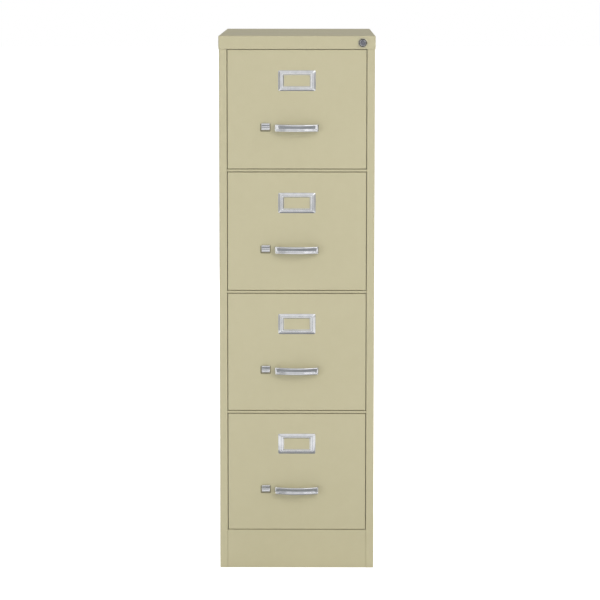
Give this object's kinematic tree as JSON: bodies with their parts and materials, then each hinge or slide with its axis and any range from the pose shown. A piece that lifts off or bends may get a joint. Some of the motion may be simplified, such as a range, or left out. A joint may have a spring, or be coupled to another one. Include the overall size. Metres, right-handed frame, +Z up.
{
  "type": "vertical filing cabinet",
  "caption": "Steel letter-width vertical filing cabinet with drawers on telescopic slides, bow pulls, thumb latches, label holders and a push-in lock that bars every drawer.",
  "frame": {"origin": "on the floor, at the middle of the footprint's bounding box, pulls included", "axes": "+Z up, -Y out of the front, +X to the right as the front is faced"},
  "size_m": [0.3836, 0.7064, 1.321],
  "materials": {
    "bezel_plastic": "moulded, dark olive grey",
    "putty_paint": "satin powder coat, putty",
    "chrome": "bright plated",
    "cylinder_metal": "satin nickel",
    "zinc_steel": "zinc plated",
    "nylon": "natural"
  },
  "bodies": {
    "case": {"left_side_panel": "putty_paint", "right_side_panel": "putty_paint", "back_panel": "putty_paint", "top_cap": "putty_paint", "base_panel": "putty_paint", "cross_rails": "putty_paint", "uprights": "zinc_steel", "case_slides": "zinc_steel", "lock_housing": "chrome", "lock_nut": "zinc_steel", "lock_bracket": "zinc_steel", "bar_guides": "nylon"},
    "plunger": {"lock_plunger": "cylinder_metal"},
    "key_cylinder": {"lock_core": "cylinder_metal"},
    "crank": {"lock_crank": "zinc_steel"},
    "locking_bar": {"lock_bar": "zinc_steel"},
    "drawer_1": {"drawer_1_front": "putty_paint", "drawer_1_liner": "putty_paint", "drawer_1_tray": "putty_paint", "drawer_1_handle": "chrome", "drawer_1_label_holder": "chrome", "drawer_1_latch_bezel": "bezel_plastic", "drawer_1_slides": "zinc_steel"},
    "latch_1": {"drawer_1_latch_button": "chrome", "drawer_1_latch_bar": "zinc_steel"},
    "carriers_1": {"drawer_1_carriers": "zinc_steel"},
    "follower_1": {"drawer_1_follower": "zinc_steel"},
    "drawer_2": {"drawer_2_front": "putty_paint", "drawer_2_liner": "putty_paint", "drawer_2_tray": "putty_paint", "drawer_2_handle": "chrome", "drawer_2_label_holder": "chrome", "drawer_2_latch_bezel": "bezel_plastic", "drawer_2_slides": "zinc_steel"},
    "latch_2": {"drawer_2_latch_button": "chrome", "drawer_2_latch_bar": "zinc_steel"},
    "carriers_2": {"drawer_2_carriers": "zinc_steel"},
    "follower_2": {"drawer_2_follower": "zinc_steel"},
    "drawer_3": {"drawer_3_front": "putty_paint", "drawer_3_liner": "putty_paint", "drawer_3_tray": "putty_paint", "drawer_3_handle": "chrome", "drawer_3_label_holder": "chrome", "drawer_3_latch_bezel": "bezel_plastic", "drawer_3_slides": "zinc_steel"},
    "latch_3": {"drawer_3_latch_button": "chrome", "drawer_3_latch_bar": "zinc_steel"},
    "carriers_3": {"drawer_3_carriers": "zinc_steel"},
    "follower_3": {"drawer_3_follower": "zinc_steel"},
    "drawer_4": {"drawer_4_front": "putty_paint", "drawer_4_liner": "putty_paint", "drawer_4_tray": "putty_paint", "drawer_4_handle": "chrome", "drawer_4_label_holder": "chrome", "drawer_4_latch_bezel": "bezel_plastic", "drawer_4_slides": "zinc_steel"},
    "latch_4": {"drawer_4_latch_button": "chrome", "drawer_4_latch_bar": "zinc_steel"},
    "carriers_4": {"drawer_4_carriers": "zinc_steel"},
    "follower_4": {"drawer_4_follower": "zinc_steel"}
  },
  "joints": [
    {"name": "drawer_1_slide", "type": "slide", "parent": "case", "child": "drawer_1", "axis": [0, -1, 0], "range_m": [0, 0.6]},
    {"name": "carriers_1_slide", "type": "slide", "parent": "case", "child": "carriers_1", "axis": [0, -1, 0], "range_m": [0, 0.3]},
    {"name": "latch_1_press", "type": "slide", "parent": "drawer_1", "child": "latch_1", "axis": [1, 0, 0], "range_m": [0, 0.0065], "stiffness_N_per_m": 200, "springref_m": -0.005},
    {"name": "follower_1_slide", "type": "slide", "parent": "drawer_1", "child": "follower_1", "axis": [0, -1, 0], "range_m": [0, 0.5]},
    {"name": "drawer_2_slide", "type": "slide", "parent": "case", "child": "drawer_2", "axis": [0, -1, 0], "range_m": [0, 0.6]},
    {"name": "carriers_2_slide", "type": "slide", "parent": "case", "child": "carriers_2", "axis": [0, -1, 0], "range_m": [0, 0.3]},
    {"name": "latch_2_press", "type": "slide", "parent": "drawer_2", "child": "latch_2", "axis": [1, 0, 0], "range_m": [0, 0.0065], "stiffness_N_per_m": 200, "springref_m": -0.005},
    {"name": "follower_2_slide", "type": "slide", "parent": "drawer_2", "child": "follower_2", "axis": [0, -1, 0], "range_m": [0, 0.5]},
    {"name": "drawer_3_slide", "type": "slide", "parent": "case", "child": "drawer_3", "axis": [0, -1, 0], "range_m": [0, 0.6]},
    {"name": "carriers_3_slide", "type": "slide", "parent": "case", "child": "carriers_3", "axis": [0, -1, 0], "range_m": [0, 0.3]},
    {"name": "latch_3_press", "type": "slide", "parent": "drawer_3", "child": "latch_3", "axis": [1, 0, 0], "range_m": [0, 0.0065], "stiffness_N_per_m": 200, "springref_m": -0.005},
    {"name": "follower_3_slide", "type": "slide", "parent": "drawer_3", "child": "follower_3", "axis": [0, -1, 0], "range_m": [0, 0.5]},
    {"name": "drawer_4_slide", "type": "slide", "parent": "case", "child": "drawer_4", "axis": [0, -1, 0], "range_m": [0, 0.6]},
    {"name": "carriers_4_slide", "type": "slide", "parent": "case", "child": "carriers_4", "axis": [0, -1, 0], "range_m": [0, 0.3]},
    {"name": "latch_4_press", "type": "slide", "parent": "drawer_4", "child": "latch_4", "axis": [1, 0, 0], "range_m": [0, 0.0065], "stiffness_N_per_m": 200, "springref_m": -0.005},
    {"name": "follower_4_slide", "type": "slide", "parent": "drawer_4", "child": "follower_4", "axis": [0, -1, 0], "range_m": [0, 0.5]},
    {"name": "plunger_press", "type": "slide", "parent": "case", "child": "plunger", "axis": [0, 1, 0], "range_m": [0, 0.008], "stiffness_N_per_m": 300, "springref_m": -0.008},
    {"name": "key_turn", "type": "hinge", "parent": "plunger", "child": "key_cylinder", "pos_m": [0.1603, -0.32115, 1.3037], "axis": [0, -1, 0], "range_deg": [0, 90]},
    {"name": "crank_turn", "type": "hinge", "parent": "case", "child": "crank", "pos_m": [0.1603, -0.27115, 1.2797], "axis": [-1, 0, 0], "range_deg": [0, 20.1]},
    {"name": "locking_bar_slide", "type": "slide", "parent": "case", "child": "locking_bar", "axis": [0, 0, 1], "range_m": [0, 0.008]}
  ],
  "couplings": [
    {"joint": "carriers_1_slide", "follows": "drawer_1_slide", "ratio": 0.5},
    {"joint": "carriers_2_slide", "follows": "drawer_2_slide", "ratio": 0.5},
    {"joint": "carriers_3_slide", "follows": "drawer_3_slide", "ratio": 0.5},
    {"joint": "carriers_4_slide", "follows": "drawer_4_slide", "ratio": 0.5},
    {"joint": "crank_turn", "follows": "plunger_press", "rad_per_m": 43.75},
    {"joint": "locking_bar_slide", "follows": "plunger_press", "ratio": 1}
  ]
}
